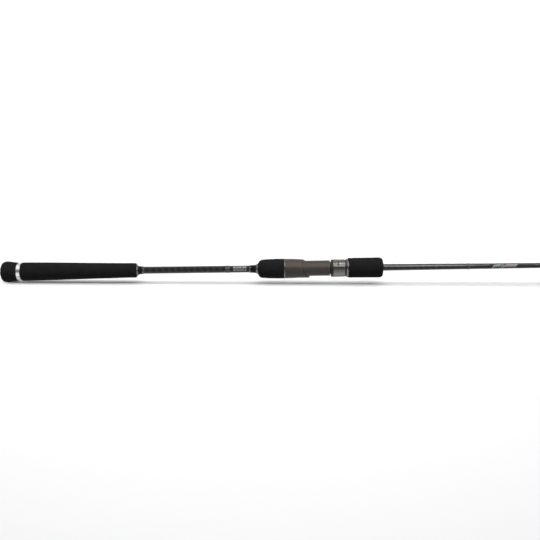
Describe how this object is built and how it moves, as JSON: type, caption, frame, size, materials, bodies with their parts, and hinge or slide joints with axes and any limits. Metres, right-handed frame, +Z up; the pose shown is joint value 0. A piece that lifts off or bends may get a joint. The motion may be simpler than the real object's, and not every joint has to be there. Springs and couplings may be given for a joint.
{
  "type": "spinning rod",
  "caption": "Two-piece spinning rod with foam grips, a threaded sliding-hood reel seat under the rod, and ringed line guides along a hollow tapered blank.",
  "frame": {"origin": "centre of the reel-foot bed, the flat under the rod between the reel seat's two hoods", "axes": "+X along the rod from butt to tip, -Z out of the bed towards the reel and the line guides, +Y to the left of someone looking along +X with +Z up"},
  "size_m": [1.9803, 0.0298, 0.0488],
  "materials": {
    "eva_foam": "matte",
    "trim_ring": "polished",
    "graphite_blank": "gloss",
    "winding_check": "gloss",
    "trim_wrap": "gloss",
    "guide_wrap": "gloss",
    "hood_band": "polished",
    "reel_seat": "satin",
    "hood_plastic": "satin",
    "arbor": "matte",
    "guide_frame": "gloss",
    "guide_ring": "polished"
  },
  "bodies": {
    "butt_section": {"butt_blank": "graphite_blank", "butt_cap": "eva_foam", "butt_ring": "trim_ring", "rear_grip": "eva_foam", "rear_grip_ring": "trim_ring", "rear_winding_check": "winding_check", "rear_check_ring": "trim_ring", "rear_trim_wrap": "trim_wrap", "seat_check_ring": "trim_ring", "seat_winding_check": "winding_check", "mid_grip_ring": "trim_ring", "mid_grip": "eva_foam", "seat_ring": "trim_ring", "reel_seat": "reel_seat", "seat_arbor_rear": "arbor", "seat_arbor_middle": "arbor", "seat_arbor_front": "arbor", "front_trim_wrap": "trim_wrap"},
    "sliding_hood": {"hood_body": "hood_plastic", "hood_band": "hood_band"},
    "lock_nut": {"nut_sleeve": "hood_plastic", "nut_ring": "trim_ring", "foregrip": "eva_foam"},
    "tip_section": {"tip_blank": "graphite_blank", "ferrule_wrap": "guide_wrap", "tip_top_frame": "guide_frame", "tip_top_ring": "guide_ring", "tip_top_wrap": "guide_wrap", "guide_1_frame": "guide_frame", "guide_1_ring": "guide_ring", "guide_1_wrap": "guide_wrap", "guide_2_frame": "guide_frame", "guide_2_ring": "guide_ring", "guide_2_wrap": "guide_wrap", "guide_3_frame": "guide_frame", "guide_3_ring": "guide_ring", "guide_3_wrap": "guide_wrap", "guide_4_frame": "guide_frame", "guide_4_ring": "guide_ring", "guide_4_wrap": "guide_wrap", "guide_5_frame": "guide_frame", "guide_5_ring": "guide_ring", "guide_5_wrap": "guide_wrap", "guide_6_frame": "guide_frame", "guide_6_ring": "guide_ring", "guide_6_wrap": "guide_wrap", "guide_7_frame": "guide_frame", "guide_7_ring": "guide_ring", "guide_7_wrap": "guide_wrap", "guide_8_frame": "guide_frame", "guide_8_ring": "guide_ring", "guide_8_wrap": "guide_wrap"}
  },
  "joints": [
    {"name": "hood_slide", "type": "slide", "parent": "butt_section", "child": "sliding_hood", "axis": [1, 0, 0], "range_m": [0, 0.02]},
    {"name": "nut_turn", "type": "hinge", "parent": "sliding_hood", "child": "lock_nut", "pos_m": [0.0504, 0, 0.0068], "axis": [1, 0, 0], "range_deg": [0, 3600]},
    {"name": "tip_section_pull", "type": "slide", "parent": "butt_section", "child": "tip_section", "axis": [1, 0, 0], "range_m": [0, 0.09]}
  ],
  "couplings": [
    {"joint": "hood_slide", "follows": "nut_turn", "m_per_rad": 0.00031831}
  ]
}
